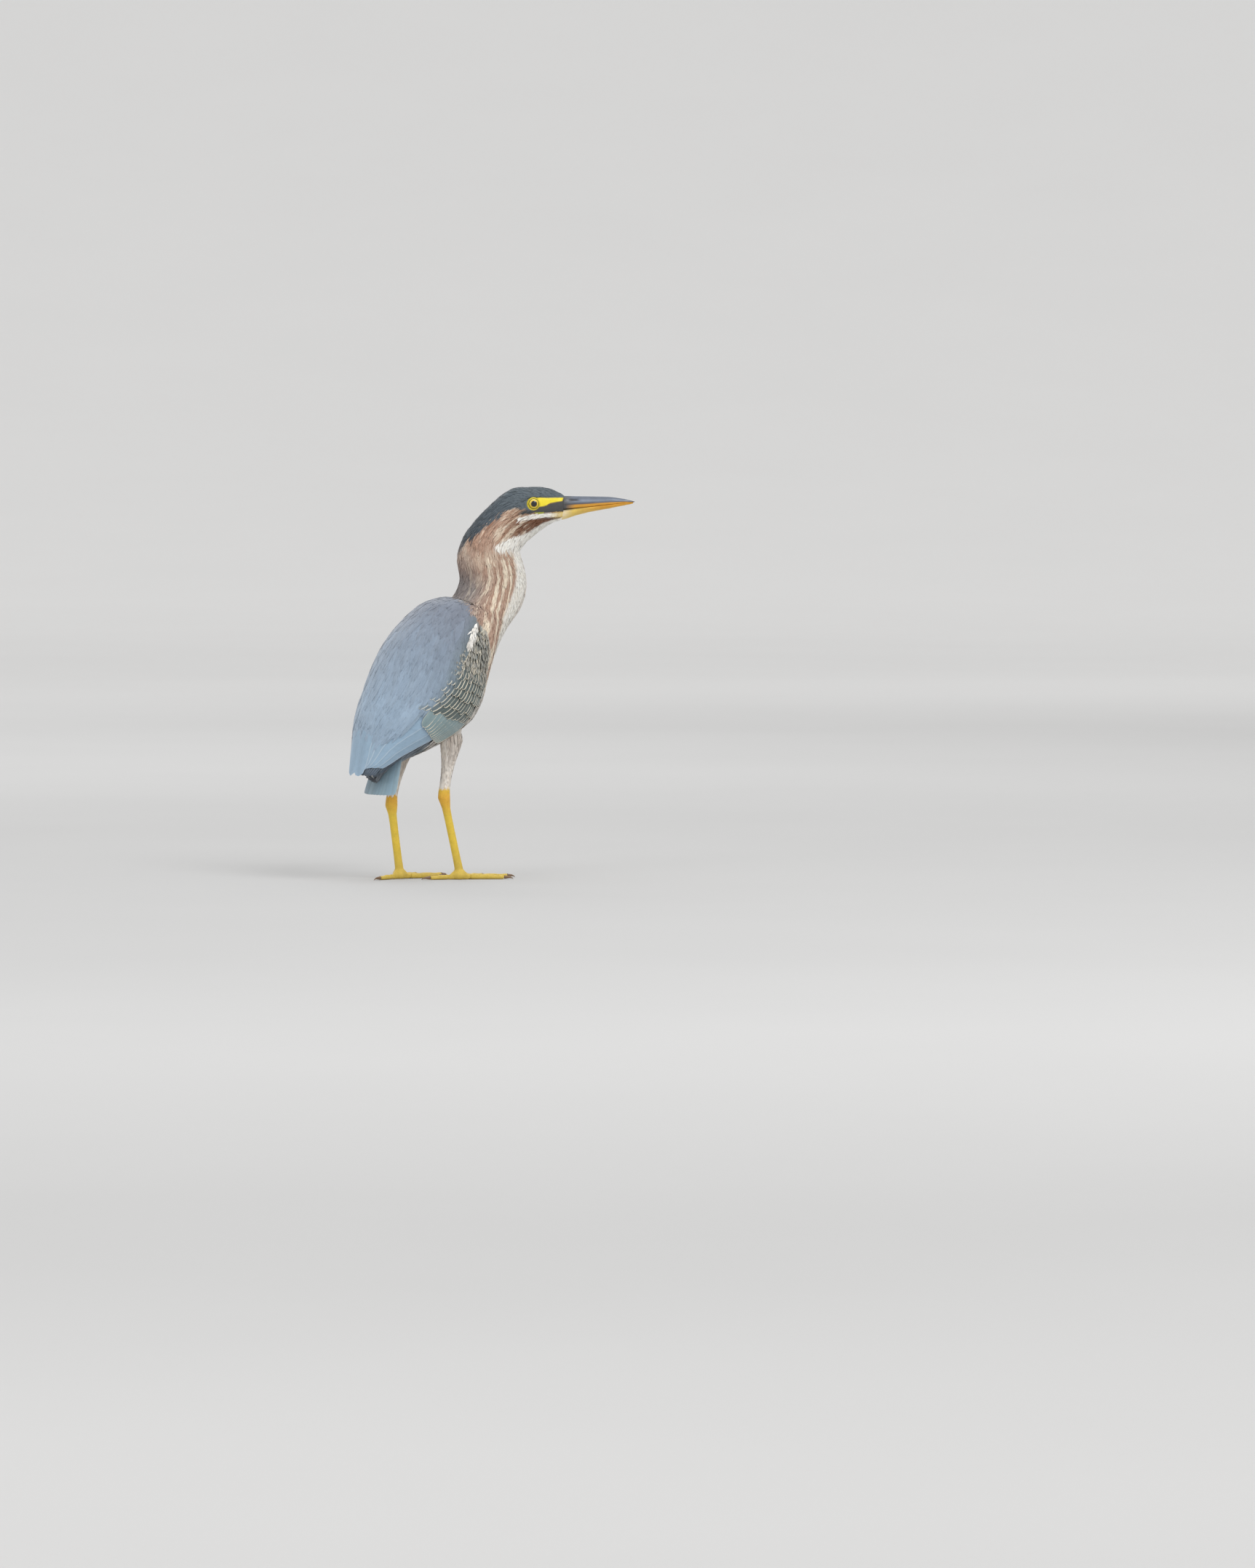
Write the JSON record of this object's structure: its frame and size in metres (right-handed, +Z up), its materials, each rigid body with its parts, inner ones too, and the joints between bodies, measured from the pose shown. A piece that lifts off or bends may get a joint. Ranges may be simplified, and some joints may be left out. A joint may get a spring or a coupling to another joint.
{
  "type": "green heron",
  "caption": "Life-size green heron standing alert on both feet, neck half raised, head turned to its right, wings folded over a short tail",
  "frame": {"origin": "on the floor, under the middle of the bird's bounding box", "axes": "+Z up; the body heads towards -Y, so the bird's left side is +X; the head and bill are turned 33 degrees to the bird's right, towards -X"},
  "size_m": [0.12, 0.2298, 0.323],
  "materials": {
    "plumage": "soft overlapping feathers, blue-grey back, buff-edged wing coverts, streaked pinkish-brown neck",
    "bill_horn": "smooth horn, dark slate above, yellow-orange below",
    "eye": "wet glossy eye, yellow iris, black pupil",
    "leg_skin": "scaled dull-glossy yellow skin",
    "claw_horn": "smooth brown horn"
  },
  "bodies": {
    "root": {"trunk": "plumage", "neck_lower": "plumage", "neck_upper": "plumage", "head": "plumage", "crest": "plumage", "wing_left": "plumage", "wing_right": "plumage", "tail": "plumage", "thigh_left": "plumage", "thigh_right": "plumage", "bill_upper": "bill_horn", "bill_lower": "bill_horn", "eye_left": "eye", "shank_left": "leg_skin", "foot_left": "leg_skin", "toe_inner_left": "leg_skin", "claw_inner_left": "claw_horn", "toe_middle_left": "leg_skin", "claw_middle_left": "claw_horn", "toe_outer_left": "leg_skin", "claw_outer_left": "claw_horn", "toe_hind_left": "leg_skin", "claw_hind_left": "claw_horn", "eye_right": "eye", "shank_right": "leg_skin", "foot_right": "leg_skin", "toe_inner_right": "leg_skin", "claw_inner_right": "claw_horn", "toe_middle_right": "leg_skin", "claw_middle_right": "claw_horn", "toe_outer_right": "leg_skin", "claw_outer_right": "claw_horn", "toe_hind_right": "leg_skin", "claw_hind_right": "claw_horn"}
  },
  "joints": []
}
